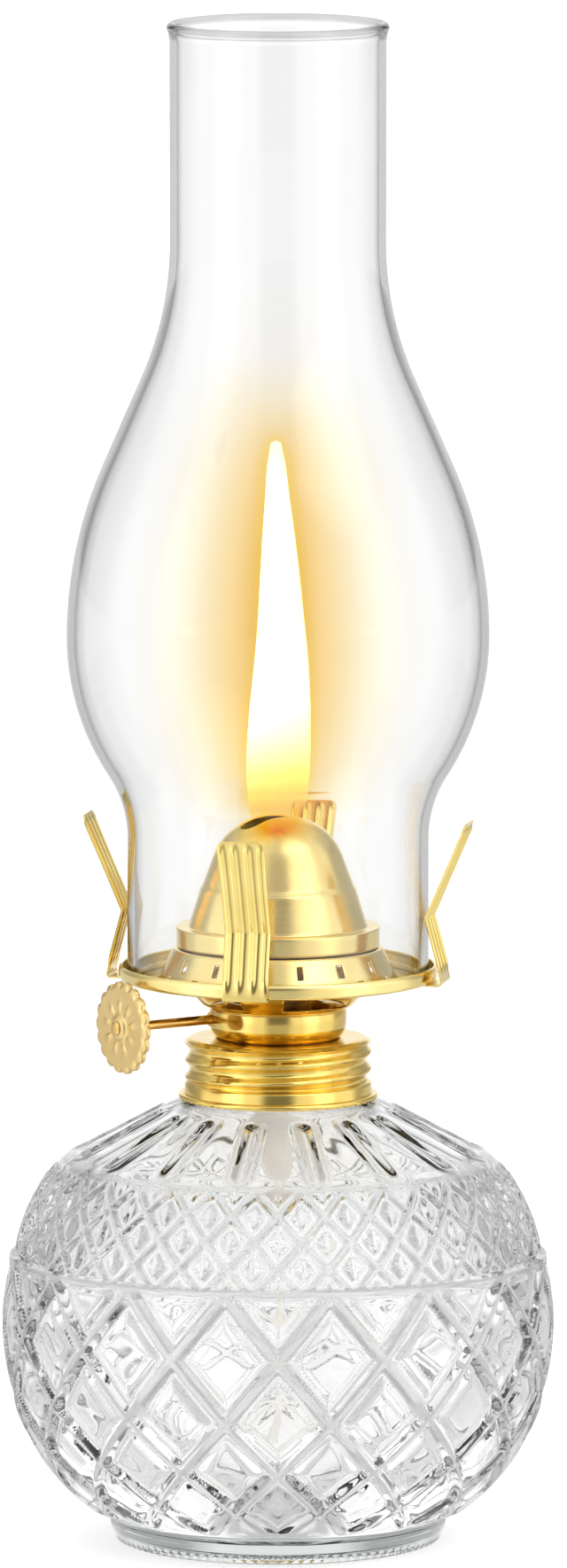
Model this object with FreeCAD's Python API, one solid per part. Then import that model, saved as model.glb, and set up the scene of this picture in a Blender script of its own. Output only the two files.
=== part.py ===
import FreeCAD, Part

import math
import os

# Glass oil lamp with a flat-wick burner: a pressed-glass font (the oil reservoir), a brass screw collar
# that carries the burner, a gallery with four spring prongs, a flame deflector and a bulged glass chimney.
#
# Frame: millimetres, +Z up, origin on the lamp's axis at the underside of the foot ring.
# The wick, its tube and the spindle run along X. The thumbwheel is on the -X side.
# Each piece is a closed solid of its own, written to parts/NODE.step.

# --- driving sizes, mm -----------------------------------------------------------------------------
LAMP_TOP = 335.0  # rim of the chimney above the table
FONT_R = 60.5  # widest radius of the font, over its ribs
FONT_WALL = 4.2  # pressed glass
CHIMNEY_WALL = 1.6  # blown glass
CHIMNEY_FIT_R = 33.1  # outer radius of the chimney's foot: a fitter of 2 5/8 inches
SHEET = 0.45  # brass sheet
WICK_WIDTH = 16.0  # a wick of 5/8 inch
WICK_THICK = 1.8

# --- levels from the table up, mm ------------------------------------------------------------------
FOOT_Z = 5.8  # top of the foot ring
WIDEST_Z = 42.0
BAND_Z = 62.4  # the large diamonds end here and the small ones begin
SHOULDER_Z = 84.2  # the small diamonds end here and the shoulder's flutes begin
NECK_FOOT_Z = 97.6
COLLAR_TOP_Z = 111.6
NECK_TOP_Z = COLLAR_TOP_Z - SHEET - 1.25  # leaves room for the gasket under the collar's top
SPINDLE_Z = 116.0
DRUM_TOP_Z = 118.2
GALLERY_Z = 124.7  # underside of the gallery's flat ring
DEFLECTOR_Z = 132.1  # lower edge of the deflector's flange
TUBE_FOOT_Z = 103.0
TUBE_TOP_Z = 154.5
WICK_TOP_Z = 156.0
WICK_TWIST_Z = 96.0  # below this the wick's tail turns as it hangs
WICK_TURNED_Z = 72.0  # the turn is complete here
WICK_FOOT_Z = 20.0
DEFLECTOR_TOP_Z = 161.2
KINK_Z = 139.2  # the prongs bend outwards here
PRONG_TOP_Z = 160.4
BULGE_FOOT_Z = 155.5  # the chimney's straight foot ends here

# --- radii, mm -------------------------------------------------------------------------------------
NECK_R = 18.4
RIDGE_R = 20.6  # the collar's thread
VALLEY_R = 19.5
NECK_BORE_R = 14.6
DRUM_R = 15.1
GALLERY_R = 34.6
GALLERY_THROAT_R = 21.2
SPINDLE_R = 1.05
BUSH_R = 1.7
SPROCKET_R = 3.6
WHEEL_R = 10.2

TUBE_WALL = 0.4
TUBE_GAP = 0.3  # between the wick and the inside of its tube
TUBE_WIDTH = WICK_WIDTH + 2 * (TUBE_GAP + TUBE_WALL)
TUBE_THICK = WICK_THICK + 2 * (TUBE_GAP + TUBE_WALL)
WICK_TWIST = 56.0  # degrees
SLOT_WIDTH = 18.8  # the deflector's slot over the wick
SLOT_THICK = 5.4
RUN = 0.08  # radial clearance of the spindle in its bearings
SPINDLE_Y = WICK_THICK / 2 + 0.1 + SPROCKET_R  # the sprockets' tips stop just short of the wick
SPROCKET_X = 4.5  # each sprocket is this far from the wick's middle
WHEEL_X = -37.8  # middle of the thumbwheel
PRONG_ANGLES = (-135, -45, 45, 135)
PRONG_NAMES = ("prong_front", "prong_right", "prong_back", "prong_left")

Z = FreeCAD.Vector(0, 0, 1)
X = FreeCAD.Vector(1, 0, 0)
ORIGIN = FreeCAD.Vector(0, 0, 0)


# --- helpers ---------------------------------------------------------------------------------------
def at(r, z):
    """A point of a section in the XZ plane, r from the lamp's axis and z above the table."""
    return FreeCAD.Vector(r, 0, z)


def section(start, *steps):
    """A closed face in the XZ plane. A step is a point for a line, or a pair of points (through, to) for an
    arc."""
    edges, here = [], start
    for step in steps:
        if isinstance(step[0], tuple):
            edges.append(Part.Arc(at(*here), at(*step[0]), at(*step[1])).toShape())
            here = step[1]
        else:
            edges.append(Part.LineSegment(at(*here), at(*step)).toShape())
            here = step
    if here != start:
        edges.append(Part.LineSegment(at(*here), at(*start)).toShape())
    return Part.Face(Part.Wire(edges))


def smooth_profile(r, z, moves, inset=0.0):
    """Steps of an upright line that is led on by moves, each a length or a (radius, degrees) bend that
    follows on smoothly. Positive degrees lean outwards. The inset line runs nearer the axis."""
    lean, r, steps = 0.0, r - inset, []
    for move in moves:
        if isinstance(move, tuple):
            radius, turn_by = move
            side = math.copysign(1, turn_by)
            radius += side * inset
            centre_r, centre_z = r + side * radius * math.cos(lean), z - side * radius * math.sin(lean)
            ends = []
            for share in (0.5, 1):
                a = lean + math.radians(turn_by) * share
                ends.append((centre_r - side * radius * math.cos(a), centre_z + side * radius * math.sin(a)))
            steps.append(tuple(ends))
            lean += math.radians(turn_by)
            r, z = ends[1]
        else:
            r, z = r + move * math.sin(lean), z + move * math.cos(lean)
            steps.append((r, z))
    return steps


def reversed_steps(start, steps):
    """The same line from its other end: the point that it starts from, and its steps."""
    points = [start] + [step[1] if isinstance(step[0], tuple) else step for step in steps]
    back = []
    for i in range(len(steps) - 1, -1, -1):
        back.append((steps[i][0], points[i]) if isinstance(steps[i][0], tuple) else points[i])
    return points[-1], back


def turned(start, *steps):
    """A section turned all the way round the lamp's axis."""
    solid = section(start, *steps).revolve(ORIGIN, Z, 360)
    return Part.Solid(solid) if solid.ShapeType != "Solid" else solid


def offset(line, distance):
    """The line of (r, z) points moved sideways to the right of its direction, with mitred corners."""
    moved = []
    for i, (r, z) in enumerate(line):
        normals = []
        for a, b in ((i - 1, i), (i, i + 1)):
            if a >= 0 and b < len(line):
                dr, dz = line[b][0] - line[a][0], line[b][1] - line[a][1]
                normals.append((dz / math.hypot(dr, dz), -dr / math.hypot(dr, dz)))
        nr, nz = (sum(n[k] for n in normals) / len(normals) for k in (0, 1))
        share = distance / (nr * nr + nz * nz)
        moved.append((r + nr * share, z + nz * share))
    return moved


def sheet_turned(line, thickness=SHEET):
    """Thin sheet spun round the axis: the line, thickened to the right of its direction."""
    return turned(line[0], *line[1:], *reversed(offset(line, thickness)))


def slab(r_outer, z0, z1, r_inner=0.0):
    """A flat disc or ring."""
    disc = Part.makeCylinder(r_outer, z1 - z0, at(0, z0))
    return disc.cut(Part.makeCylinder(r_inner, z1 - z0, at(0, z0))) if r_inner else disc


def along_x(radius, x0, x1, y=SPINDLE_Y, z=SPINDLE_Z):
    """A round bar parallel to X, from x0 up to x1."""
    return Part.makeCylinder(radius, x1 - x0, FreeCAD.Vector(x0, y, z), X)


def flat_bar(width, thick, z0, z1):
    """An upright bar with round edges, as the wick's tube has: width along X, thick along Y."""
    flat, r = width / 2 - thick / 2, thick / 2
    bar = Part.makeBox(2 * flat, thick, z1 - z0, FreeCAD.Vector(-flat, -r, z0))
    ends = [Part.makeCylinder(r, z1 - z0, FreeCAD.Vector(s * flat, 0, z0)) for s in (-1, 1)]
    return bar.fuse(ends).removeSplitter()


def wedge(angle, half, z0, z1, reach=60.0):
    """An upright prism that covers the directions within half degrees of angle."""
    corners = [FreeCAD.Vector(0, 0, z0)]
    for a in (angle - half, angle + half):
        corners.append(FreeCAD.Vector(reach * math.cos(math.radians(a)), reach * math.sin(math.radians(a)), z0))
    face = Part.Face(Part.makePolygon(corners + corners[:1]))
    return face.extrude(FreeCAD.Vector(0, 0, z1 - z0))


def turn(shape, angle):
    """A copy turned about the lamp's axis."""
    copy = shape.copy()
    copy.rotate(ORIGIN, Z, angle)
    return copy


# --- font ------------------------------------------------------------------------------------------
def font():
    """Reservoir: foot ring, round body, sloped shoulder and the neck that the collar screws on."""
    wall = FONT_WALL
    return turned(
        (0, 1.8),
        (29.6, 1.8),
        (31.2, 0),
        (34.6, 0),
        (35.2, 0.6),
        (37.5, FOOT_Z - 0.4),
        (37.2, FOOT_Z),
        (38.0, FOOT_Z + 0.6),
        ((53.2, 20.8), (60.2, WIDEST_Z)),
        ((FONT_R, 51.0), (59.5, BAND_Z - 1.0)),
        (58.4, BAND_Z),
        ((54.6, 73.2), (47.3, SHOULDER_Z)),
        (24.6, NECK_FOOT_Z - 1.2),
        (21.4, NECK_FOOT_Z),
        (NECK_R, NECK_FOOT_Z),
        (NECK_R, NECK_TOP_Z - 0.7),
        (NECK_R - 0.7, NECK_TOP_Z),
        (NECK_BORE_R, NECK_TOP_Z),
        (NECK_BORE_R, NECK_FOOT_Z - 2.6),
        (46.0 - wall * 0.5, SHOULDER_Z - wall),
        ((54.6 - wall, 70.6), (59.5 - wall, BAND_Z - wall)),
        ((FONT_R - wall, 51.0), (60.2 - wall, WIDEST_Z)),
        ((53.2 - wall * 0.86, 22.6), (34.5, 9.6)),
        ((32.0, 8.2), (29.0, 7.8)),
        (0, 7.8),
    )


def collar_gasket():
    """Flat sealing ring between the neck's rim and the collar's top."""
    return slab(NECK_R - 0.3, NECK_TOP_Z + 0.05, COLLAR_TOP_Z - SHEET - 0.05, NECK_BORE_R + 0.5)


# --- burner, fixed pieces --------------------------------------------------------------------------
def screw_collar():
    """Screw cap rolled from sheet: a flat top, three thread ridges, a plain skirt and a beaded edge."""
    pitch, turns, steps = 3.75, 2.5, 20
    thread_top_z = COLLAR_TOP_Z - 0.9
    thread_foot_z = thread_top_z - turns * pitch
    middle, swing = (RIDGE_R + VALLEY_R) / 2, (RIDGE_R - VALLEY_R) / 2
    thread = []
    for i in range(steps):
        share = i / steps
        thread.append((middle + swing * math.cos(2 * math.pi * turns * share), thread_top_z - share * turns * pitch))
    thread.append((RIDGE_R - 0.5, thread_foot_z))
    line = [(11.5, COLLAR_TOP_Z), (RIDGE_R - 0.7, COLLAR_TOP_Z)] + thread
    line += [(RIDGE_R, thread_foot_z - 0.6), (RIDGE_R, 99.4), (21.2, 98.9), (21.6, 98.2)]
    body = sheet_turned(line)
    bead = Part.makeTorus(21.35, 0.65, at(0, 98.65))
    return body.fuse(bead).removeSplitter()


def tube_plate():
    """Disc that closes the burner's floor and holds the wick tube. It has a small vent hole."""
    z0, z1 = COLLAR_TOP_Z, COLLAR_TOP_Z + SHEET
    vent = Part.makeCylinder(0.8, z1 - z0, FreeCAD.Vector(0, -8.0, z0))
    return slab(12.9, z0, z1).cut(flat_bar(TUBE_WIDTH + 0.1, TUBE_THICK + 0.1, z0, z1)).cut(vent)


def wick_tube():
    """Flat tube that guides the wick. Two windows let the sprockets reach the wick."""
    tube = flat_bar(TUBE_WIDTH, TUBE_THICK, TUBE_FOOT_Z, TUBE_TOP_Z)
    tube = tube.cut(flat_bar(TUBE_WIDTH - 2 * TUBE_WALL, TUBE_THICK - 2 * TUBE_WALL, TUBE_FOOT_Z, TUBE_TOP_Z))
    height = 2 * SPROCKET_R + 0.6
    for side in (-1, 1):
        corner = FreeCAD.Vector(side * SPROCKET_X - 0.8, 0.5, SPINDLE_Z - height / 2)
        tube = tube.cut(Part.makeBox(1.6, 2.0, height, corner))
    return tube


def burner_drum():
    """Bowl-shaped wall of the burner, with a hole for the spindle's bush."""
    line = [(DRUM_R, DRUM_TOP_Z), (DRUM_R, 114.4), (14.5, 112.7), (13.6, COLLAR_TOP_Z)]
    return sheet_turned(line).cut(along_x(BUSH_R + 0.05, -20, -8))


def spindle_bush():
    """Plain bush in the drum's wall, with its outer end just proud of it."""
    return along_x(BUSH_R, -14.75, -12.9).cut(along_x(SPINDLE_R + RUN, -20, -8))


def spindle_bracket():
    """U-shaped bracket on the wick tube. Its two ears carry the spindle's inner end."""
    ear_x, y0, y1 = 7.2, TUBE_THICK / 2, SPINDLE_Y + SPROCKET_R + 0.4
    z0, height = SPINDLE_Z - 2.6, 5.2
    back = Part.makeBox(2 * ear_x, 0.6, height, FreeCAD.Vector(-ear_x, y1, z0))
    ears = [Part.makeBox(0.6, y1 + 0.6 - y0, height, FreeCAD.Vector(x, y0, z0)) for x in (-ear_x, ear_x - 0.6)]
    return back.fuse(ears).removeSplitter().cut(along_x(SPINDLE_R + RUN, -12, 12))


def air_basket():
    """Flared ring between drum and gallery. Four wide windows let the air in."""
    line = [(24.0, 124.2), (20.6, 124.2), (18.2, 121.3), (15.9, 118.75), (14.6, 118.35), (14.6, 118.1)]
    basket = sheet_turned(line)
    for angle in (0, 90, 180, 270):
        basket = basket.cut(wedge(angle, 30, 119.5, 123.6))
    return basket


def air_diffuser():
    """Pierced disc across the air basket. It evens out the air that rises to the flame."""
    r, z = 19.45, 123.7
    disc = slab(r, z, z + SHEET).cut(flat_bar(TUBE_WIDTH + 0.1, TUBE_THICK + 0.1, z, z + SHEET))
    holes = []
    for ring_r, count in ((12.0, 20), (16.5, 28)):
        hole = Part.makeCylinder(0.8, SHEET, at(ring_r, z))
        holes += [turn(hole, 360 / count * (i + 0.5)) for i in range(count)]
    return disc.cut(holes)


def gallery():
    """Pierced plate with a turned-up rim that the chimney stands in, and a raised throat for the deflector."""
    z = GALLERY_Z
    rim = [(GALLERY_R, z + 2.5), (GALLERY_R, z), (26.2, z)]
    throat = [(22.9, DEFLECTOR_Z - 0.5), (GALLERY_THROAT_R, DEFLECTOR_Z - 0.5), (GALLERY_THROAT_R, 134.4)]
    plate = sheet_turned(rim + throat)
    slot = Part.makeBox(4.2, 1.3, 12.0, FreeCAD.Vector(22.9, -0.65, z - 1))
    slots = [turn(slot, 22.5 * i + 11.25) for i in range(16)]
    return plate.cut(slots)


# --- deflector, wick, spindle ----------------------------------------------------------------------
def deflector():
    """Bell-shaped flame deflector with an oval slot over the wick and a flange that caps the throat."""
    t, top, flange_top = SHEET, DEFLECTOR_TOP_Z, DEFLECTOR_Z + 4.2
    flange_r = GALLERY_THROAT_R + SHEET + 0.25 + t
    outer = turned(
        (0, DEFLECTOR_Z),
        (flange_r, DEFLECTOR_Z),
        (flange_r, flange_top - 0.4),
        (flange_r - 0.4, flange_top),
        (19.6, flange_top),
        (16.9, 145.0),
        (13.9, 152.6),
        ((9.4, 158.6), (0, top)),
    )
    inner = turned(
        (0, DEFLECTOR_Z),
        (flange_r - t, DEFLECTOR_Z),
        (flange_r - t, flange_top - t),
        (19.6 - t * 1.05, flange_top - t),
        (16.9 - t, 145.0),
        (13.9 - t, 152.6 - t * 0.3),
        ((9.4 - t * 0.6, 158.6 - t * 0.8), (0, top - t)),
    )
    return outer.cut(inner).cut(flat_bar(SLOT_WIDTH, SLOT_THICK, 150.0, top + 1))


def wick():
    """Woven flat wick. It is straight in the tube, turns once in the font and hangs down in the oil."""
    w, t = WICK_WIDTH, WICK_THICK
    straight = flat_bar(w, t, WICK_TWIST_Z, WICK_TOP_Z)
    levels = 9
    rings = []
    for i in range(levels):
        share = i / (levels - 1)
        z = WICK_TWIST_Z + (WICK_TURNED_Z - WICK_TWIST_Z) * share
        corners = [(-w / 2, -t / 2), (w / 2, -t / 2), (w / 2, t / 2), (-w / 2, t / 2), (-w / 2, -t / 2)]
        ring = Part.makePolygon([FreeCAD.Vector(x, y, z) for x, y in corners])
        rings.append(turn(ring, WICK_TWIST * math.sin(share * math.pi / 2) ** 2))
    bend = Part.makeLoft(rings, True, True)
    tail = Part.makeBox(w, t, WICK_TURNED_Z - WICK_FOOT_Z, FreeCAD.Vector(-w / 2, -t / 2, WICK_FOOT_Z))
    return straight.fuse([bend, turn(tail, WICK_TWIST)]).removeSplitter()


def spindle():
    """Round spindle, with its outer end peened over the thumbwheel."""
    end_x = WHEEL_X - 1.8
    head = along_x(1.6, end_x - 0.55, end_x)
    return along_x(SPINDLE_R, end_x, 8.8).fuse(head).removeSplitter()


def spindle_washer():
    """Washer pressed on the spindle just inside the bush. It keeps the spindle from sliding out."""
    x0, x1 = -12.7, -12.2
    return along_x(1.9, x0, x1).cut(along_x(SPINDLE_R, x0, x1))


def sprocket(x):
    """Toothed wheel that drives the wick."""
    teeth, root_r, thick = 10, 2.6, 0.9
    corners = []
    for i in range(teeth):
        for share, r in ((-0.3, root_r), (-0.1, SPROCKET_R), (0.1, SPROCKET_R), (0.3, root_r)):
            a = 2 * math.pi * (i + share) / teeth - math.pi / 2
            corners.append(FreeCAD.Vector(x - thick / 2, SPINDLE_Y + r * math.cos(a), SPINDLE_Z + r * math.sin(a)))
    blank = Part.Face(Part.makePolygon(corners + corners[:1])).extrude(X * thick)
    return blank.cut(along_x(SPINDLE_R, x - 1, x + 1))


def thumbwheel():
    """Scalloped disc with a raised boss on its outer face."""
    scallops, half = 18, 0.8
    disc = along_x(WHEEL_R, WHEEL_X - half, WHEEL_X + half)
    notches = []
    for i in range(scallops):
        a = 2 * math.pi * i / scallops
        y, z = SPINDLE_Y + (WHEEL_R + 0.75) * math.cos(a), SPINDLE_Z + (WHEEL_R + 0.75) * math.sin(a)
        notches.append(along_x(1.2, WHEEL_X - 1, WHEEL_X + 1, y, z))
    boss = Part.makeCone(2.4, 3.4, 1.0, FreeCAD.Vector(WHEEL_X - half - 1.0, SPINDLE_Y, SPINDLE_Z), X)
    return disc.cut(notches).fuse(boss).removeSplitter().cut(along_x(SPINDLE_R, WHEEL_X - 5, WHEEL_X + 5))


# --- prongs and chimney ----------------------------------------------------------------------------
def prong(angle):
    """Spring strip: a foot under the gallery, a lean towards the glass, a kink that grips and a flared tip."""
    half_t, half_w = SHEET / 2, 5.0
    foot_z = GALLERY_Z - 0.04 - half_t
    kink_r = CHIMNEY_FIT_R + 0.3 + half_t
    line = [(32.4, foot_z), (36.9, foot_z), (37.5, foot_z + 0.6), (kink_r, KINK_Z), (42.7, PRONG_TOP_Z)]
    left, right = offset(line, -half_t), offset(line, half_t)
    face = section(left[0], *left[1:], *reversed(right))
    face.translate(FreeCAD.Vector(0, -half_w, 0))
    return turn(face.extrude(FreeCAD.Vector(0, 2 * half_w, 0)), angle)


def chimney():
    """Blown glass: a straight foot, a wide bulge round the flame and a straight stack with a polished rim."""
    foot_z, fit_r, wall = GALLERY_Z + SHEET + 0.05, CHIMNEY_FIT_R, CHIMNEY_WALL
    flare, lower_bulge, upper_bulge, neck = (26.0, 33.0), (56.0, -33.0), (94.0, -23.7), (74.6, 23.7)
    moves = (BULGE_FOOT_Z - foot_z, flare, lower_bulge, upper_bulge, 20.9, neck, 42.0)
    outer = smooth_profile(fit_r, foot_z, moves)
    inner_foot = (fit_r - wall, foot_z)
    inner_top, inner = reversed_steps(inner_foot, smooth_profile(fit_r, foot_z, moves, wall))
    stack_r, bead, bead_z = outer[-1][0], 0.5, LAMP_TOP - 1.3
    return turned(
        inner_foot,
        (fit_r, foot_z),
        *outer,
        (stack_r + bead, bead_z),
        ((stack_r - wall / 2, LAMP_TOP), (stack_r - wall - bead / 2, bead_z)),
        inner_top,
        *inner,
    )


# --- all nodes -------------------------------------------------------------------------------------
def nodes():
    made = {
        "font": font(),
        "collar_gasket": collar_gasket(),
        "screw_collar": screw_collar(),
        "tube_plate": tube_plate(),
        "burner_drum": burner_drum(),
        "spindle_bush": spindle_bush(),
        "spindle_bracket": spindle_bracket(),
        "wick_tube": wick_tube(),
        "air_basket": air_basket(),
        "air_diffuser": air_diffuser(),
        "gallery": gallery(),
        "deflector": deflector(),
        "wick": wick(),
        "spindle": spindle(),
        "spindle_washer": spindle_washer(),
        "sprocket_inner": sprocket(SPROCKET_X),
        "sprocket_outer": sprocket(-SPROCKET_X),
        "thumbwheel": thumbwheel(),
        "chimney": chimney(),
    }
    for name, angle in zip(PRONG_NAMES, PRONG_ANGLES):
        made[name] = prong(angle)
    return made


os.makedirs("parts", exist_ok=True)
for node, shape in nodes().items():
    solids = shape.Solids
    print(f"{node:16s} solids {len(solids)} valid {shape.isValid()} volume {shape.Volume:.1f} mm3")
    shape.exportStep(f"parts/{node}.step")
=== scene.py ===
import math

import bpy
import numpy as np
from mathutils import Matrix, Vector


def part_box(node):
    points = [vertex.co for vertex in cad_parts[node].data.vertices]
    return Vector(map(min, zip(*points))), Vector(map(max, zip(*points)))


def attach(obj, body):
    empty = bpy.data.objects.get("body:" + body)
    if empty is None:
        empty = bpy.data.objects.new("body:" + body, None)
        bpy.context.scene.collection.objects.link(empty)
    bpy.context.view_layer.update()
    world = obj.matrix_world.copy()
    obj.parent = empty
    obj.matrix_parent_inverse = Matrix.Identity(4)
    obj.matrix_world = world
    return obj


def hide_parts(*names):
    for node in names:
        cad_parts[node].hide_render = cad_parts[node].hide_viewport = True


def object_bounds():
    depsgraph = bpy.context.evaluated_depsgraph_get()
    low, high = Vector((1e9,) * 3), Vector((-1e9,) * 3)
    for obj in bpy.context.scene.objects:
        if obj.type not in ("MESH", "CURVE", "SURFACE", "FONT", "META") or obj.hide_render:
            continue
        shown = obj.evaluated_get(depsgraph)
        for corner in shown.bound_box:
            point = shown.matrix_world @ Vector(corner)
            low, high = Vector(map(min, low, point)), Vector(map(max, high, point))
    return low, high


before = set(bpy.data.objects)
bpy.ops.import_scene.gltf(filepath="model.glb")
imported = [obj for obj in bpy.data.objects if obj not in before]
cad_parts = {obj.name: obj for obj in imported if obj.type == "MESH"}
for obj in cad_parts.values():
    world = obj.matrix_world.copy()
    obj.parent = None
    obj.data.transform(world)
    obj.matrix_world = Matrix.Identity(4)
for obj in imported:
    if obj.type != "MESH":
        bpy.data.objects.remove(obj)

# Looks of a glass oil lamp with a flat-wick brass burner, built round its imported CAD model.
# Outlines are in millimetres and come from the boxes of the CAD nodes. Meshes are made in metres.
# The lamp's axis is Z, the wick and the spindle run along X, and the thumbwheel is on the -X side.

MM = 0.001
SHEET = 0.45  # brass sheet
CAD_LOW, CAD_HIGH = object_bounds()

CAMERA_AZIMUTH = math.radians(-33.75)
CAMERA_ELEVATION = math.radians(7.4)
CAMERA_DISTANCE = 4.0
IMAGE_HEIGHT_SPAN = 0.3437  # height of the view at the lamp's axis
AIM_ASIDE = 0.0012  # the view's middle is this far to the right of the lamp's axis
SENSOR = 36.0


# --- the frame's sizes -----------------------------------------------------------------------------
def extent(node):
    """Radius, bottom and top of a node that stands on the lamp's axis, in millimetres."""
    low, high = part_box(node)
    return high.x / MM, low.z / MM, high.z / MM


def low_high(node):
    low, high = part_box(node)
    return low / MM, high / MM


# --- mesh helpers ----------------------------------------------------------------------------------
def add_mesh(name, points, faces, material, body, *replaced, slot=None, crease=35):
    """Make one piece from points in millimetres, hide the CAD nodes it stands for and let it ride."""
    mesh = bpy.data.meshes.new(name)
    mesh.from_pydata((np.asarray(points) * MM).tolist(), [], [list(map(int, f)) for f in faces])
    mesh.validate()
    mesh.shade_smooth()
    mesh.set_sharp_from_angle(angle=math.radians(crease))
    mesh.materials.append(material)
    piece = bpy.data.objects.new(name, mesh)
    bpy.context.scene.collection.objects.link(piece)
    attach(piece, body)
    if replaced:
        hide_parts(*replaced)
    return piece


def grid_faces(rows, columns, close_rows=False, close_columns=True):
    """Quads of a grid whose points are numbered row by row."""
    faces = []
    for i in range(rows if close_rows else rows - 1):
        for j in range(columns if close_columns else columns - 1):
            k, m = (i + 1) % rows, (j + 1) % columns
            faces.append((i * columns + j, i * columns + m, k * columns + m, k * columns + j))
    return faces


def around(columns):
    return np.arange(columns) * 2 * math.pi / columns


def ring_points(profile, columns):
    """Points of a profile of (r, z) spun round Z: an array of rows, columns and coordinates."""
    r, z = np.array(profile, float).T
    a = around(columns)
    x, y = r[:, None] * np.cos(a), r[:, None] * np.sin(a)
    return np.stack([x, y, np.broadcast_to(z[:, None], x.shape)], axis=2)


def soften(line, radius, steps=4, closed=False):
    """Round each corner of a line with a small curve that starts radius before it."""
    points = [np.array(p, float) for p in line]
    count, soft = len(points), []
    for i, p in enumerate(points):
        if not closed and i in (0, count - 1):
            soft.append(p)
            continue
        before, after = points[i - 1] - p, points[(i + 1) % count] - p
        a = p + before * min(radius / np.linalg.norm(before), 0.45)
        b = p + after * min(radius / np.linalg.norm(after), 0.45)
        for t in np.linspace(0, 1, steps + 1):
            soft.append(a * (1 - t) ** 2 + p * 2 * t * (1 - t) + b * t * t)
    return soft


def arc_through(start, middle, end, steps):
    """Points of the arc from start to end through middle, without its start."""
    (x1, y1), (x2, y2), (x3, y3) = start, middle, end
    d = 2 * (x1 * (y2 - y3) + x2 * (y3 - y1) + x3 * (y1 - y2))
    s1, s2, s3 = x1 * x1 + y1 * y1, x2 * x2 + y2 * y2, x3 * x3 + y3 * y3
    cx = (s1 * (y2 - y3) + s2 * (y3 - y1) + s3 * (y1 - y2)) / d
    cy = (s1 * (x3 - x2) + s2 * (x1 - x3) + s3 * (x2 - x1)) / d
    a1, a2, a3 = (math.atan2(y - cy, x - cx) for x, y in (start, middle, end))
    sweep = (a3 - a1) % (2 * math.pi)
    if (a2 - a1) % (2 * math.pi) > sweep:
        sweep -= 2 * math.pi
    radius = math.hypot(x1 - cx, y1 - cy)
    angles = a1 + sweep * np.arange(1, steps + 1) / steps
    return [(cx + radius * math.cos(a), cy + radius * math.sin(a)) for a in angles]


def evenly(line, step):
    """The line with points added so that none is further than step from the next."""
    points = [np.array(line[0], float)]
    for end in line[1:]:
        start, end = points[-1], np.array(end, float)
        count = max(1, math.ceil(np.linalg.norm(end - start) / step))
        points += [start + (end - start) * k / count for k in range(1, count + 1)]
    return points


def normals(line):
    """Unit normals of a line of (r, z), on its right-hand side."""
    slope = np.gradient(line, axis=0)
    out = np.stack([slope[:, 1], -slope[:, 0]], axis=1)
    return out / np.linalg.norm(out, axis=1)[:, None]


def columns_of(line):
    """The radii and the heights of a line of (r, z), each as one column."""
    return line[:, :1], line[:, 1:]


def capped(rows, columns):
    """Faces that close both ends of a spun skin with a fan, given two extra points at its ends."""
    faces = grid_faces(rows, columns)
    last, first_cap, last_cap = (rows - 1) * columns, rows * columns, rows * columns + 1
    for j in range(columns):
        k = (j + 1) % columns
        faces += [(first_cap, k, j), (last_cap, last + j, last + k)]
    return faces


def thicken(piece, thickness=SHEET, side=-1.0, round_edge=0.08):
    """Give a sheet its thickness and round its cut edges."""
    solid = piece.modifiers.new("sheet", "SOLIDIFY")
    solid.thickness = thickness * MM
    solid.offset = side
    solid.use_even_offset = True
    edge = piece.modifiers.new("edge", "BEVEL")
    edge.width = round_edge * MM
    edge.segments = 2
    edge.limit_method = "ANGLE"
    edge.angle_limit = math.radians(50)
    return piece


def spun_sheet(name, line, body, node, material, slot, columns=192, hole=None, warp=None, side=-1.0):
    """A sheet spun round Z from its outer line. hole says which cells are cut out; warp moves points."""
    points = ring_points(line, columns)
    if warp:
        points = warp(points)
    faces = grid_faces(len(line), columns)
    flat = points.reshape(-1, 3)
    if hole:
        faces = [f for f in faces if not hole(*flat[list(f)].mean(axis=0))]
        used = sorted({v for f in faces for v in f})
        number = {v: i for i, v in enumerate(used)}
        flat, faces = flat[used], [[number[v] for v in f] for f in faces]
    piece = add_mesh(name, flat, faces, material, body, node, slot=slot)
    return thicken(piece, side=side)


# --- materials -------------------------------------------------------------------------------------
def new_material(name):
    material = bpy.data.materials.new(name)
    material.use_nodes = True
    tree = material.node_tree
    return material, tree, tree.nodes["Principled BSDF"] if "Principled BSDF" in tree.nodes else None


def add_node(tree, kind, inputs=None, **settings):
    node = tree.nodes.new(kind)
    for key, value in settings.items():
        setattr(node, key, value)
    for key, value in (inputs or {}).items():
        node.inputs[key].default_value = value
    return node


def object_place(tree, scale):
    """Object coordinates stretched by scale, for grain that runs one way."""
    place = add_node(tree, "ShaderNodeTexCoord")
    stretch = add_node(tree, "ShaderNodeMapping", {"Scale": scale})
    tree.links.new(place.outputs["Object"], stretch.inputs["Vector"])
    return stretch.outputs["Vector"]


def height_between(tree, low, high):
    """0 at the height low, in metres, and 1 at high."""
    split = add_node(tree, "ShaderNodeSeparateXYZ")
    tree.links.new(add_node(tree, "ShaderNodeTexCoord").outputs["Object"], split.inputs["Vector"])
    return remap(tree, split.outputs["Z"], 0.0, 1.0, (low, high))


def greys(stops):
    """Colour stops from stops of (position, grey)."""
    return [(position, (grey, grey, grey)) for position, grey in stops]


def noise(tree, place, scale, detail=3.0, roughness=0.5):
    node = add_node(tree, "ShaderNodeTexNoise", {"Scale": scale, "Detail": detail, "Roughness": roughness})
    tree.links.new(place, node.inputs["Vector"])
    return node.outputs["Fac"]


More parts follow.
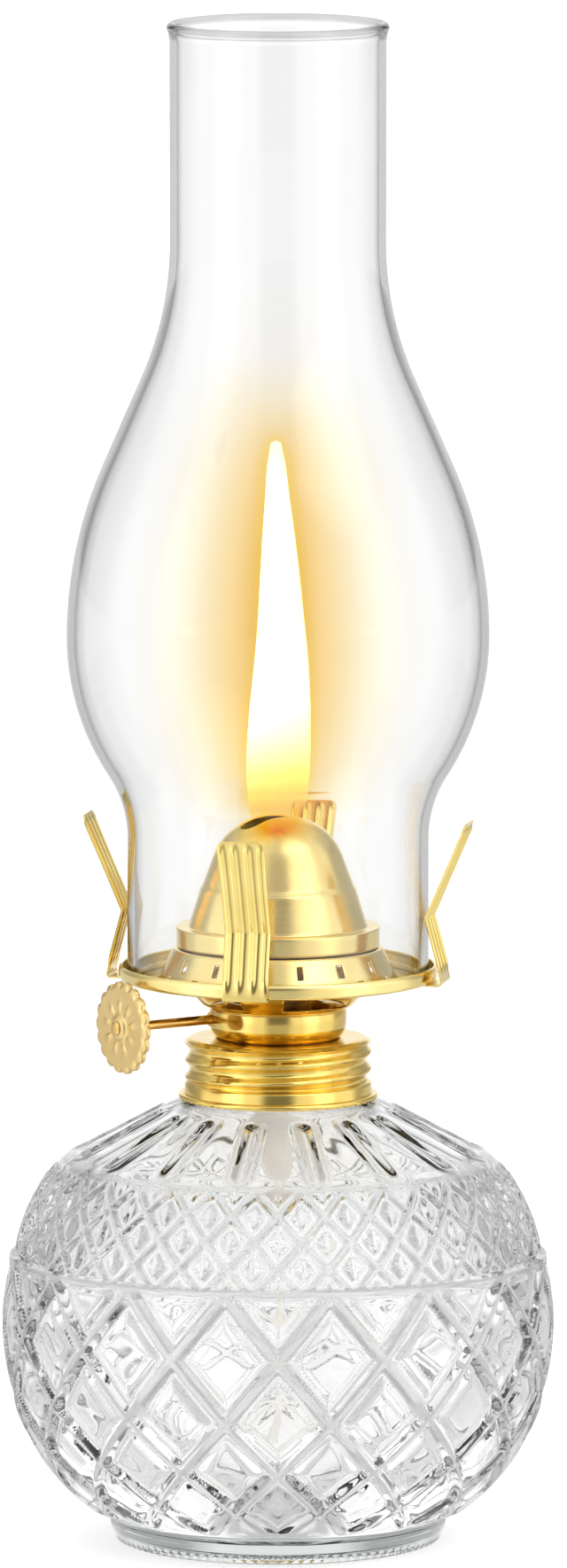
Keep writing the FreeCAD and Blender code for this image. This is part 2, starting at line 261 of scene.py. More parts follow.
def ramp(tree, value, stops, interpolation="LINEAR"):
    """Colour ramp with stops of (position, colour)."""
    node = add_node(tree, "ShaderNodeValToRGB")
    node.color_ramp.interpolation = interpolation
    elements = node.color_ramp.elements
    while len(elements) < len(stops):
        elements.new(0.5)
    for element, (position, colour) in zip(elements, stops):
        element.position = position
        element.color = (*colour, 1.0)
    tree.links.new(value, node.inputs["Fac"])
    return node.outputs["Color"]


def remap(tree, value, low, high, source=(0.3, 0.7)):
    node = add_node(tree, "ShaderNodeMapRange")
    for key, number in zip(("From Min", "From Max", "To Min", "To Max"), (*source, low, high)):
        node.inputs[key].default_value = number
    tree.links.new(value, node.inputs["Value"])
    return node.outputs["Result"]


def bump(tree, height, strength, distance, shader):
    node = add_node(tree, "ShaderNodeBump", {"Strength": strength, "Distance": distance})
    tree.links.new(height, node.inputs["Height"])
    tree.links.new(node.outputs["Normal"], shader.inputs["Normal"])


def brass(name, colour, dull, rough, grain=(60, 60, 900), grain_depth=0.05):
    """Rolled or spun brass: fine grain one way, faint tarnish and uneven gloss."""
    material, tree, shader = new_material(name)
    shader.inputs["Metallic"].default_value = 1.0
    blotches = noise(tree, object_place(tree, (1, 1, 1)), 55, 4, 0.6)
    tone = ramp(tree, blotches, [(0.32, dull), (0.62, colour)])
    tree.links.new(tone, shader.inputs["Base Color"])
    lines = noise(tree, object_place(tree, grain), 1.0, 4, 0.7)
    gloss = add_node(tree, "ShaderNodeMath", operation="ADD")
    tree.links.new(remap(tree, lines, rough * 0.7, rough * 1.25), gloss.inputs[0])
    tree.links.new(remap(tree, blotches, 0.05, 0.0), gloss.inputs[1])
    tree.links.new(gloss.outputs["Value"], shader.inputs["Roughness"])
    bump(tree, lines, grain_depth, 0.0002, shader)
    return material


def glass(name, tint, density, ior, wave_scale, wave_strength, rough):
    """Clear glass that greys where the light's way through it is long."""
    material, tree, shader = new_material(name)
    shader.inputs["Base Color"].default_value = (1, 1, 1, 1)
    shader.inputs["Transmission Weight"].default_value = 1.0
    shader.inputs["IOR"].default_value = ior
    waves = noise(tree, object_place(tree, (1, 1, 0.6)), wave_scale, 2, 0.5)
    tree.links.new(remap(tree, waves, 0.0, rough), shader.inputs["Roughness"])
    bump(tree, waves, wave_strength, 0.001, shader)
    depth = add_node(tree, "ShaderNodeVolumeAbsorption", {"Color": (*tint, 1.0), "Density": density})
    tree.links.new(depth.outputs["Volume"], tree.nodes["Material Output"].inputs["Volume"])
    return material


def paint_edge_shade(material, stops, rim_z, rim_shade_grey):
    """Paints shade into the glass's colour where it is seen edge on, and in a band at the bead of its rim,
    for dark outlines.
    """
    tree = material.node_tree
    # painted shade: darker where the glass is seen edge on
    facing = add_node(tree, "ShaderNodeLayerWeight", {"Blend": 0.5}).outputs["Facing"]
    # painted shade: a darker band just below the rim's top
    rim_shade_band = height_between(tree, rim_z - 2 * MM, rim_z - 1.2 * MM)
    both = add_node(tree, "ShaderNodeMix", {"Factor": 1.0}, data_type="RGBA", blend_type="MULTIPLY")
    tree.links.new(ramp(tree, facing, greys(stops)), both.inputs["A"])
    tree.links.new(ramp(tree, rim_shade_band, greys([(0.0, 1.0), (1.0, rim_shade_grey)])), both.inputs["B"])
    tree.links.new(both.outputs["Result"], tree.nodes["Principled BSDF"].inputs["Base Color"])


def paint_rib_highlights(material, most):
    """Mixes a milky white into the glass along the crests of its ribs, a painted highlight where the crests
    catch the light.
    """
    tree = material.node_tree
    shader, output = tree.nodes["Principled BSDF"], tree.nodes["Material Output"]
    # painted highlight: a milky white shader mixed in along the rib crests
    rib_highlight = add_node(tree, "ShaderNodeBsdfTranslucent", {"Color": (0.97, 0.98, 0.98, 1.0)})
    highlight_mask = add_node(tree, "ShaderNodeAttribute", attribute_name="rib").outputs["Fac"]
    share = remap(tree, highlight_mask, 0.0, most, (0.0, 1.0))
    both = add_node(tree, "ShaderNodeMixShader")
    tree.links.new(share, both.inputs["Fac"])
    tree.links.new(shader.outputs["BSDF"], both.inputs[1])
    tree.links.new(rib_highlight.outputs["BSDF"], both.inputs[2])
    tree.links.new(both.outputs["Shader"], output.inputs["Surface"])


def cotton():
    """Off-white woven cotton: crossed yarns, with a scorched top edge, and a faint glow of its own colour
    that is painted light.
    """
    material, tree, shader = new_material("wick_cotton")
    _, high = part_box("wick")
    place = add_node(tree, "ShaderNodeTexCoord").outputs["Object"]
    char = height_between(tree, high.z - 3.5 * MM, high.z - 0.5 * MM)
    soil = noise(tree, place, 160, 4)
    clean = ramp(tree, soil, [(0.3, (0.86, 0.83, 0.76)), (0.7, (0.95, 0.93, 0.88))])
    mix = add_node(tree, "ShaderNodeMix", data_type="RGBA")
    tree.links.new(char, mix.inputs["Factor"])
    tree.links.new(clean, mix.inputs["A"])
    mix.inputs["B"].default_value = (0.03, 0.02, 0.015, 1)
    tree.links.new(mix.outputs["Result"], shader.inputs["Base Color"])
    # painted light: the cloth's own colour is also sent out as a faint glow, so the wick reads as lit
    tree.links.new(mix.outputs["Result"], shader.inputs["Emission Color"])
    shader.inputs["Emission Strength"].default_value = 0.3
    shader.inputs["Roughness"].default_value = 0.95
    shader.inputs["Sheen Weight"].default_value = 0.25
    yarn = noise(tree, object_place(tree, (1800, 1800, 600)), 1.0, 2)
    bump(tree, yarn, 0.5, 0.0003, shader)
    return material


def rubber():
    material, tree, shader = new_material("gasket_rubber")
    grain = noise(tree, object_place(tree, (1, 1, 1)), 700, 3)
    tone = ramp(tree, grain, [(0.3, (0.02, 0.018, 0.016)), (0.7, (0.045, 0.04, 0.035))])
    tree.links.new(tone, shader.inputs["Base Color"])
    tree.links.new(remap(tree, grain, 0.6, 0.85), shader.inputs["Roughness"])
    bump(tree, grain, 0.3, 0.0002, shader)
    return material


def flame_glow(low_z, high_z):
    """Emission from orange at the foot through yellow to white. Mirrored light passes through it, or the
    chimney shows a second flame."""
    material, tree, shader = new_material("flame")
    tree.nodes.remove(shader)
    rise = height_between(tree, low_z, high_z)
    stops = [
        (0.0, (0.36, 0.2, 0.1)),
        (0.05, (0.38, 0.27, 0.12)),
        (0.12, (0.44, 0.44, 0.16)),
        (0.18, (0.8, 0.75, 0.4)),
        (0.3, (1.0, 1.0, 0.93)),
        (0.86, (1.0, 0.98, 0.85)),
        (1.0, (1.0, 0.86, 0.5)),
    ]
    light = add_node(tree, "ShaderNodeEmission", {"Strength": 3.2})
    tree.links.new(ramp(tree, rise, stops), light.inputs["Color"])
    clear = add_node(tree, "ShaderNodeBsdfTransparent", {"Color": (1.0, 0.95, 0.84, 1.0)})
    mirrored = add_node(tree, "ShaderNodeLightPath").outputs["Glossy Depth"]
    direct = remap(tree, mirrored, 1.0, 0.0, (0.0, 1.0))
    shown = add_node(tree, "ShaderNodeMath", operation="MULTIPLY")
    tree.links.new(remap(tree, rise, 0.0, 1.0, (0.01, 0.11)), shown.inputs[0])
    tree.links.new(direct, shown.inputs[1])
    fade = add_node(tree, "ShaderNodeMixShader")
    tree.links.new(shown.outputs["Value"], fade.inputs["Fac"])
    tree.links.new(clear.outputs["BSDF"], fade.inputs[1])
    tree.links.new(light.outputs["Emission"], fade.inputs[2])
    tree.links.new(fade.outputs["Shader"], tree.nodes["Material Output"].inputs["Surface"])
    return material


def painted_glow(name, colour, density):
    """Warm tint in a volume round the flame, a painted glow: on a white ground it reads as the flame's halo
    of light.
    """
    material, tree, shader = new_material(name)
    tree.nodes.remove(shader)
    tint = add_node(tree, "ShaderNodeVolumeAbsorption", {"Color": (*colour, 1.0), "Density": density})
    tree.links.new(tint.outputs["Volume"], tree.nodes["Material Output"].inputs["Volume"])
    return material


POLISHED = brass("polished_brass", (0.88, 0.65, 0.19), (0.78, 0.54, 0.14), 0.13)
PRONG_BRASS = brass("prong_brass", (0.9, 0.72, 0.26), (0.82, 0.6, 0.18), 0.1, (400, 400, 40))
GLOW_LIT_BRASS = brass("glow_lit_brass", (0.97, 0.79, 0.33), (0.92, 0.71, 0.27), 0.19)  # paler copy of the brass for parts near the flame, painted light from the flame's glow
PLAIN = brass("plain_brass", (0.78, 0.52, 0.18), (0.62, 0.4, 0.13), 0.24)
SATIN = brass("satin_brass", (0.8, 0.6, 0.27), (0.72, 0.52, 0.22), 0.34, (100, 500, 500), 0.12)
PRESSED = glass("pressed_glass", (0.5, 0.56, 0.53), 10.0, 1.5, 60, 0.05, 0.02)
# painted highlight along the rib crests of the font
paint_rib_highlights(PRESSED, 0.3)
BLOWN = glass("clear_glass", (0.52, 0.54, 0.5), 45.0, 1.47, 25, 0.02, 0.0)
# painted shade: dark outlines and a darker rim band on the chimney
paint_edge_shade(BLOWN, [(0.66, 1.0), (0.78, 0.6), (0.87, 0.08)], CAD_HIGH[2], 0.68)
COTTON = cotton()
RUBBER = rubber()


# --- glass font ------------------------------------------------------------------------------------
FONT_R, FONT_FOOT, FONT_TOP = extent("font")
WAIST_Z = 62.8  # ridge between the two lattices
LARGE_ROWS = (WAIST_Z, 48.6, 34.7, 23.3, 13.6, 6.2)  # heights where the wide lattice's ribs cross
SMALL_ROWS = (WAIST_Z, 68.3, 73.8, 79.0, 84.0)
LARGE_COUNT, SMALL_COUNT = 16, 32
SHOULDER_TOP_Z = 96.4
HOLLOW_Z, FLOOR_Z = 2.2, 7.8  # underside of the floor and the floor itself
FONT_COLUMNS = 576


def font_outline():
    """The font's outside without its pattern, from under the foot to the neck's rim."""
    line = [(31.2, FONT_FOOT), (34.6, FONT_FOOT)]
    line += arc_through((34.6, 0), (35.3, 0.35), (35.5, 1.0), 3)
    line += arc_through((35.5, 1.0), (37.0, 4.4), (37.0, 5.9), 6)
    line += [(37.6, 6.3)]
    line += arc_through((37.6, 6.3), (52.3, 20.8), (59.2, 42.0), 72)
    line += arc_through((59.2, 42.0), (59.5, 51.0), (58.4, 61.2), 26)
    line += arc_through((58.4, 61.2), (58.2, 62.8), (57.0, 64.2), 6)
    line += arc_through((57.0, 64.2), (54.2, 73.4), (48.9, 82.0), 40)
    line += arc_through((48.9, 82.0), (46.9, 84.3), (43.8, 86.1), 10)
    line += [(24.6, SHOULDER_TOP_Z)]
    line += arc_through((24.6, SHOULDER_TOP_Z), (22.3, 97.3), (20.4, 97.6), 4)
    line += [(18.8, 97.9), (18.4, 98.6), (18.4, FONT_TOP - 0.7), (17.7, FONT_TOP)]
    return evenly(line, 0.72)


def font_inside():
    """The font's inside, from the neck's rim down to the middle of the floor."""
    line = [(14.6, FONT_TOP), (14.6, 95.0), (38.0, 83.2)]
    line += arc_through((38.0, 83.2), (43.6, 79.4), (47.0, 75.6), 6)
    line += arc_through((47.0, 75.6), (51.6, 68.0), (54.6, 58.2), 8)
    line += arc_through((54.6, 58.2), (56.0, 51.0), (55.6, 42.0), 10)
    line += arc_through((55.6, 42.0), (49.4, 22.6), (34.5, 9.8), 20)
    line += arc_through((34.5, 9.8), (30.0, 8.2), (24.0, FLOOR_Z), 5)
    line += [(12.0, FLOOR_Z), (3.0, FLOOR_Z)]
    return evenly(line, 2.4)


def step_up(value, low, high):
    """0 below low, 1 above high and a smooth rise between."""
    t = np.clip((value - low) / (high - low), 0, 1)
    return t * t * (3 - 2 * t)


def to_whole(value):
    return np.abs(value - np.round(value))


def lattice(a, z, r, rows, count, shift):
    """Distance in mm from the nearest rib of the two slanting families."""
    order = np.argsort(rows)
    v = np.interp(z, np.array(rows)[order], np.arange(len(rows))[order])
    u = a * count / (2 * math.pi) - shift
    width = r * 2 * math.pi / count
    height = np.abs(rows[-1] - rows[0]) / (len(rows) - 1) * 1.12
    per_mm = np.sqrt(1 / width**2 + 1 / (4 * height**2))
    return np.minimum(to_whole(u + v / 2), to_whole(u - v / 2)) / per_mm


def large_relief(a, z, r):
    """Broad rounded ribs round softly pillowed diamonds."""
    distance = lattice(a, z, r, LARGE_ROWS, LARGE_COUNT, 0.0)
    rib = 1 - step_up(distance, 0.4, 1.75)
    pillow = step_up(distance, 1.6, 4.6) * 0.55
    groove = -0.55 * np.exp(-(((distance - 2.0) / 0.55) ** 2))
    return 1.15 * rib + pillow + groove


def small_relief(a, z, r):
    """Narrow ribs round small diamonds, each raised to an upright crease."""
    distance = lattice(a, z, r, SMALL_ROWS, SMALL_COUNT, 0.5)
    rib = 1 - step_up(distance, 0.2, 1.15)
    u = a * SMALL_COUNT / (2 * math.pi)
    across = 1 - 2 * to_whole(u * 2) * 2
    roof = step_up(distance, 1.0, 3.0) * (0.6 + 0.4 * across)
    return 1.0 * rib + roof * 1.1


def shoulder_relief(a, r):
    """Wide panels with a narrow round-ended groove between each pair."""
    u = a * LARGE_COUNT / (2 * math.pi)
    sideways = to_whole(u) / LARGE_COUNT * 2 * math.pi * r
    beyond = np.maximum(np.maximum(27.6 - r, r - 43.4), 0)
    distance = np.hypot(sideways, beyond)
    groove = -0.5 * (1 - step_up(distance, 0.1, 1.7))
    lip = 0.45 * np.exp(-(((distance - 2.2) / 0.6) ** 2))
    return (groove + lip) * step_up(r, 24.6, 26.4)


def font_relief(a, r, z):
    """How far the pattern stands out from the font's plain outside."""
    large = large_relief(a, z, r) * step_up(z, 6.4, 9.0) * (1 - step_up(z, 61.6, 62.6))
    small = small_relief(a, z, r) * step_up(z, 63.9, 64.8) * (1 - step_up(z, 81.4, 83.8))
    ridges = 1.1 * np.exp(-(((z - 62.9) / 1.0) ** 2)) + 0.5 * np.exp(-(((z - 84.0) / 1.3) ** 2))
    shoulder = shoulder_relief(a, r) * step_up(z, 84.0, 85.0) * (r > 24.0)
    beads = 0.3 * np.maximum(np.cos(a * 96), 0) * np.exp(-(((z - 0.9) / 0.5) ** 2))
    thread = 0.42 * np.exp(-((((z - 103.5) / 3.75 - a / (2 * math.pi) + 0.5) % 1 - 0.5) / 0.16) ** 2)
    thread = thread * (z > 100.2) * (z < FONT_TOP - 1.5) * (r < 19)
    return large + small + ridges + shoulder + beads + thread


def rib_share(a, r, z):
    """1 along the crests of the ribs and 0 between them."""
    large = 1 - step_up(lattice(a, z, r, LARGE_ROWS, LARGE_COUNT, 0.0), 0.2, 1.5)
    small = 1 - step_up(lattice(a, z, r, SMALL_ROWS, SMALL_COUNT, 0.5), 0.1, 0.9)
    low = step_up(z, 6.0, 9.0) * (1 - step_up(z, 61.6, 62.6))
    high = step_up(z, 63.0, 64.5) * (1 - step_up(z, 82.5, 84.5))
    bands = np.exp(-(((z - 62.9) / 0.9) ** 2)) + 0.7 * np.exp(-(((z - 84.2) / 1.0) ** 2))
    return np.clip(large * low + 0.8 * small * high + bands, 0, 1)


def font_rows(a):
    """Radius and height of every ring of the skin, for its underside, its outside and its inside."""
    outside, inside = np.array(font_outline()), np.array(font_inside())
    normal = normals(outside)
    r, z = columns_of(outside)
    relief = font_relief(a, r, z)
    outer = r + normal[:, :1] * relief, z + normal[:, 1:] * relief
    r, z = columns_of(inside)
    waves = 0.14 * np.sin(5 * a + z * 0.21) + 0.1 * np.sin(11 * a - z * 0.33)
    waves = waves + 0.06 * np.sin(23 * a + z * 0.5)
    inner = r + waves * step_up(r, 15.0, 30.0), z + 0 * a
    underside = [(3.0, HOLLOW_Z), (14.0, HOLLOW_Z), (26.0, HOLLOW_Z), (29.4, 1.9), (30.4, 0.9)]
    r, z = columns_of(np.array(underside))
    under = r + 0 * a, z + 0 * a
    return [np.vstack(parts) for parts in zip(under, outer, inner)], len(r), outside


def make_font():
    a = around(FONT_COLUMNS)[None, :]
    (r, z), first, outside = font_rows(a)
    points = np.stack([r * np.cos(a), r * np.sin(a), z], axis=2)
    flat = np.vstack([points.reshape(-1, 3), [[0, 0, HOLLOW_Z], [0, 0, FLOOR_Z]]])
    faces = capped(len(points), FONT_COLUMNS)
    piece = add_mesh("font_glass", flat, faces, PRESSED, "font", "font", slot="pressed_glass", crease=60)
    # how much painted highlight each point of the outside takes, kept as the point attribute rib
    share = np.zeros(points.shape[:2])
    share[first:first + len(outside)] = rib_share(a, *columns_of(outside))
    values = np.concatenate([share.ravel(), [0, 0]]).astype(np.float32)
    piece.data.attributes.new("rib", "FLOAT", "POINT").data.foreach_set("value", values)
    return piece


# --- glass chimney ---------------------------------------------------------------------------------
CHIMNEY_FOOT_R, BULGE_FOOT_Z = 33.1, 155.5
CHIMNEY_RUNS = ((26.0, 33.0), (56.0, -33.0), (94.0, -23.7), (20.9, 0), (74.6, 23.7))
CHIMNEY_WALL = 1.6


def chimney_outside(foot_z, rim_z):
    """Straight foot, then arcs of (radius, turn) or straight runs of (length, 0), then the rim's flare."""
    lean, r, z = 0.0, CHIMNEY_FOOT_R, BULGE_FOOT_Z
    line = [(r, foot_z), (r, 140.0), (r, z)]
    for radius, degrees in CHIMNEY_RUNS:
        if degrees:
            side = math.copysign(1, degrees)
            cr, cz = r + side * radius * math.cos(lean), z - side * radius * math.sin(lean)
            for share in np.linspace(0, 1, 25)[1:]:
                a = lean + math.radians(degrees) * share
                line.append((cr - side * radius * math.cos(a), cz + side * radius * math.sin(a)))
            lean += math.radians(degrees)
        else:
            line.append((r + radius * math.sin(lean), z + radius * math.cos(lean)))
        r, z = line[-1]
    return np.array(line + [(r, rim_z - 4.0), (r + 0.35, rim_z - 2.0)])


def make_chimney():
    """Outside and inside of the blown glass, as one closed skin with a rounded rim and foot."""
    low, high = low_high("chimney")
    outer = chimney_outside(low.z, high.z)
    inner = outer - CHIMNEY_WALL * normals(outer)
    crown = (outer[-2][0] - CHIMNEY_WALL / 2 + 0.3, high.z)
    rim = arc_through(outer[-1], crown, inner[-1] - np.array((0.3, 0)), 10)
    loop = np.vstack([outer, rim, inner[::-1]])
    points = ring_points(loop, 180)
    a = np.arctan2(points[..., 1], points[..., 0])
    z = points[..., 2]
    wobble = 1 + 0.0016 * np.sin(2 * a + z * 0.045) + 0.0009 * np.sin(3 * a - z * 0.07)
    wobble = 1 + (wobble - 1) * step_up(z, 160.0, 185.0)
    points[..., 0] *= wobble
    points[..., 1] *= wobble
    faces = grid_faces(len(loop), 180, close_rows=True)
    return add_mesh("chimney_glass", points.reshape(-1, 3), faces, BLOWN, "chimney", "chimney",
                    slot="clear_glass", crease=70)


# --- brass burner ----------------------------------------------------------------------------------
def make_collar():
    """Screw collar with a rolled helical thread, a plain skirt and a beaded edge."""
    bead_r, foot_z, top_z = extent("screw_collar")
    pitch, ridge, valley = 3.75, 20.6, 19.5
    thread_low, thread_high = top_z - 10.2, top_z - 0.9
    line = [(11.5, top_z), (ridge - 1.2, top_z)]
    line = soften(line + [(ridge - 0.4, thread_high)], 0.7)
    line += [(ridge, z) for z in np.linspace(thread_high, thread_low, 40)]
    line += [(ridge, 99.7), (20.75, 99.2)]
    line += arc_through((20.75, 99.2), (bead_r, 98.65), (21.3, foot_z + 0.05), 8)
    line += [(20.7, foot_z + 0.1), (20.5, 98.6)]

    def thread(points):
        x, y, z = np.moveaxis(points, 2, 0)
        r, a = np.hypot(x, y), np.arctan2(y, x)
        wave = 0.5 - 0.5 * np.cos(2 * math.pi * ((z - thread_low) / pitch - a / (2 * math.pi)))
        ends = step_up(z, thread_low, thread_low + 1.0) * (1 - step_up(z, thread_high - 0.6, thread_high))
        shrink = 1 - (ridge - valley) * wave**0.8 * ends / np.maximum(r, 1)
        return np.stack([x * shrink, y * shrink, z], axis=2)

    return spun_sheet("collar_brass", line, "burner", "screw_collar", POLISHED, "polished_brass", warp=thread,
                      columns=240, side=1.0)


def make_drum():
    r, foot_z, top_z = extent("burner_drum")
    line = [(13.6, foot_z), (14.5, foot_z + 1.1), (r, foot_z + 2.8), (r, top_z - 0.25)]
    line = soften(line, 0.8)
    return spun_sheet("drum_brass", line, "burner", "burner_drum", POLISHED, "polished_brass", side=-1.0)


def make_basket():
    """Flared ring whose four windows leave four legs, one under each prong."""
    r, foot_z, top_z = extent("air_basket")
    line = [(14.7, foot_z), (14.8, foot_z + 0.4), (15.9, foot_z + 0.8)]
    line += [(18.2, 121.3), (20.6, top_z - 0.45), (r, top_z - 0.25)]
    line = evenly(soften(line, 0.9), 0.35)

    def window(x, y, z):
        side = abs((math.degrees(math.atan2(y, x)) + 45) % 90 - 45)
        return 119.5 < z < 123.7 and side < 30

    return spun_sheet("basket_brass", line, "burner", "air_basket", POLISHED, "polished_brass", hole=window,
                      columns=216, side=1.0)


def make_gallery():
    """Plate with a rolled rim, a raised throat and two rings of air holes."""
    r, foot_z, top_z = extent("gallery")
    throat_r = 21.4
    line = [(r - 0.5, foot_z + 2.8), (r, foot_z + 2.3), (r, foot_z + 0.4), (r - 1.0, foot_z), (29.0, foot_z)]
    line += [(26.2, foot_z + 0.3), (22.9, 131.7), (throat_r, 131.9), (throat_r, top_z)]
    line = evenly(soften(line, 0.5), 0.4)

    def air_hole(x, y, z):
        place, around_by = math.hypot(x, y), math.degrees(math.atan2(y, x))
        if not 22.9 < place < 27.2 or z > 130.9:
            return False
        side = abs((around_by + 11.25) % 22.5 - 11.25)
        high, low = 127.6 < z < 130.2, 124.9 < z < 126.4
        return (high and side < 1.6) or (low and abs(side - 11.25) < 2.0)

    return spun_sheet("gallery_brass", line, "burner", "gallery", GLOW_LIT_BRASS, "polished_brass", hole=air_hole,
                      columns=360, side=-1.0)


DEFLECTOR_BELL_TOP = 161.2  # where the bell would end above the slot


def slot_edge(a, half, end_r):
    """Radius in each direction a of a round-ended slot along X, given half its length."""
    straight = half - end_r
    across, along = np.abs(np.sin(a)), np.abs(np.cos(a))
    ends = straight * along + np.sqrt(np.maximum(end_r**2 - (straight * across) ** 2, 0))
    return np.where(across * straight < end_r * along, ends, end_r / np.maximum(across, 1e-9))


def make_deflector():
    """Bell with a crease, a flange that caps the throat and a slot over the wick."""
    flange_r, foot_z, _ = extent("deflector")
    flange_top, crease_z = foot_z + 4.2, 145.0
    side = [(flange_r, foot_z), (flange_r, flange_top), (19.7, flange_top), (16.95, crease_z)]
    side = soften(side, 0.35) + [(16.6, crease_z + 0.35), (13.9, 152.6)]
    side = evenly(side, 0.8)
    bell_start = side[-1]
    profile = arc_through((13.9, 152.6), (9.4, 158.6), (0.0, DEFLECTOR_BELL_TOP), 60)
    heights = np.array([bell_start] + profile)
    columns = 192
    a = around(columns)
    slot = slot_edge(a, 9.4, 2.7)
    rows = [ring_points(side, columns)]
    for share in np.linspace(0.04, 1, 30):
        radius = bell_start[0] * (1 - share) + slot * share
        height = np.interp(radius, heights[::-1, 0], heights[::-1, 1])
        rows.append(np.stack([radius * np.cos(a), radius * np.sin(a), height], axis=1)[None])
    points = np.concatenate(rows)
    faces = grid_faces(len(points), columns)
    piece = add_mesh("deflector_brass", points.reshape(-1, 3), faces, GLOW_LIT_BRASS, "deflector", "deflector",
                     slot="polished_brass")
    return thicken(piece)


def make_prong(name, degrees):
    """Fluted spring strip with a rounded tip, for the prong at that angle."""
    foot_z = 124.4
    half, kink_r = 5.0, 33.62
    line = [(32.4, foot_z), (36.9, foot_z), (37.45, foot_z + 0.6), (kink_r, 139.2), (42.7, 160.2)]
    line = evenly(soften(line, 0.5), 0.6)
    path = np.array(line)
    out = normals(path)
    run = np.concatenate([[0], np.cumsum(np.linalg.norm(np.diff(path, axis=0), axis=1))])
    columns = 41
    across = np.linspace(-1, 1, columns)
    left = run[-1] - run
    tip = np.sqrt(1 - np.clip(1 - left / 2.2, 0, 1) ** 3 * 0.45)
    width = half * (1 + 0.05 * step_up(-left, -12, 0)) * tip
    flute = sum(0.5 * np.exp(-(((across - middle) / 0.11) ** 2)) for middle in (-0.86, -0.3, 0.3, 0.86))
    depth = flute[None, :] * (step_up(run, 6.0, 9.5) * step_up(left, 0.4, 2.4))[:, None]
    r, z = path[:, :1] + out[:, :1] * depth, path[:, 1:] + out[:, 1:] * depth
    y = across[None, :] * width[:, None]
    cos, sin = math.cos(math.radians(degrees)), math.sin(math.radians(degrees))
    points = np.stack([r * cos - y * sin, r * sin + y * cos, z], axis=2).reshape(-1, 3)
    faces = grid_faces(len(path), columns, close_columns=False)
    piece = add_mesh(name + "_brass", points, faces, PRONG_BRASS, name, name, slot="prong_brass")
    return thicken(piece, thickness=0.42, side=0.0)


# --- spindle and thumbwheel ------------------------------------------------------------------------
SPINDLE_LOW, SPINDLE_HIGH = low_high("spindle")
SPINDLE_Y = (SPINDLE_LOW.y + SPINDLE_HIGH.y) / 2
SPINDLE_Z = (SPINDLE_LOW.z + SPINDLE_HIGH.z) / 2


def about_spindle(points):
    """Points made round Z, laid along X on the spindle's axis."""
    x, y, z = np.moveaxis(points, 2, 0)
    return np.stack([z, SPINDLE_Y + y, SPINDLE_Z + x], axis=2)


def make_spindle():
    end_x, inner_x, r = SPINDLE_LOW.x, SPINDLE_HIGH.x, 1.05
    line = [(0.5, end_x), (1.25, end_x + 0.12), (1.6, end_x + 0.42), (1.55, end_x + 0.58), (r, end_x + 0.6)]
    line = soften(line, 0.2) + [(r, end_x + 12.0), (r, inner_x - 0.3), (r - 0.3, inner_x)]
    points = about_spindle(ring_points(line[::-1], 40)).reshape(-1, 3)
    ends = [[inner_x, SPINDLE_Y, SPINDLE_Z], [end_x, SPINDLE_Y, SPINDLE_Z]]
    points, faces = np.vstack([points, ends]), capped(len(line), 40)
    return add_mesh("spindle_rod", points, faces, PLAIN, "spindle", "spindle", slot="plain_brass")


def make_thumbwheel():
    """Shallow stamped cup with a scalloped rim, a round boss and a ring of plain petals."""
    low, high = low_high("thumbwheel")
    rim_r, face_x = (high.z - low.z) / 2, low.x + 1.0
    line = [(1.3, face_x - 0.95), (2.3, face_x - 0.9), (2.9, face_x - 0.1), (3.4, face_x), (9.0, face_x)]
    line += [(rim_r, face_x + 0.45), (rim_r, face_x + 1.5)]
    line = evenly(soften(line, 0.35), 0.3)
    columns, scallops, petals = 288, 18, 9
    points = ring_points(line, columns)
    x, y, z = np.moveaxis(points, 2, 0)
    r, a = np.hypot(x, y), np.arctan2(y, x)
    bite = 0.06 * np.abs(np.cos(a * scallops / 2)) ** 4 * step_up(r, 8.2, 9.6)
    petal = np.maximum(np.cos(a * petals), 0) ** 0.7 * np.exp(-(((r - 4.7) / 1.1) ** 2))
    points = np.stack([x * (1 - bite), y * (1 - bite), z - 0.32 * petal], axis=2)
    points = about_spindle(points).reshape(-1, 3)
    faces = grid_faces(len(line), columns)
    piece = add_mesh("thumbwheel_brass", points, faces, SATIN, "spindle", "thumbwheel", slot="satin_brass")
    return thicken(piece, thickness=0.4, side=1.0)


# --- wick and flame --------------------------------------------------------------------------------
def make_wick():
    """Woven band with a bulging edge yarn, straight in its tube and slowly turning below."""
    low, high = low_high("wick")
    half_w, half_t = 8.0, 0.9
    twist_from, twist_to = 96.0, 72.0
    z = np.linspace(low.z + 0.3, high.z, 300)
    columns = 56
    a = around(columns)
    band_x = half_w * np.sign(np.cos(a)) * np.abs(np.cos(a)) ** 0.6
    band_y = half_t * np.sign(np.sin(a)) * np.abs(np.sin(a)) ** 0.35
    share = np.clip((twist_from - z) / (twist_from - twist_to), 0, 1)
    turn = np.radians(56) * np.sin(share * math.pi / 2) ** 2
    yarn = np.round(band_x / 1.15)[None, :]
    weave = 1 - 0.1 * (0.5 + 0.5 * np.cos(z[:, None] * 2 * math.pi / 1.1 + yarn * math.pi))
    x, y = band_x[None, :] * (1 + 0 * z[:, None]), band_y[None, :] * weave
    cos, sin = np.cos(turn)[:, None], np.sin(turn)[:, None]
    points = np.stack([x * cos - y * sin, x * sin + y * cos, z[:, None] + 0 * x], axis=2)
    flat = np.vstack([points.reshape(-1, 3), [[0, 0, z[0]], [0, 0, high.z]]])
    faces = capped(len(z), columns)
    return add_mesh("wick_cloth", flat, faces, COTTON, "wick", "wick", slot="wick_cotton", crease=60)


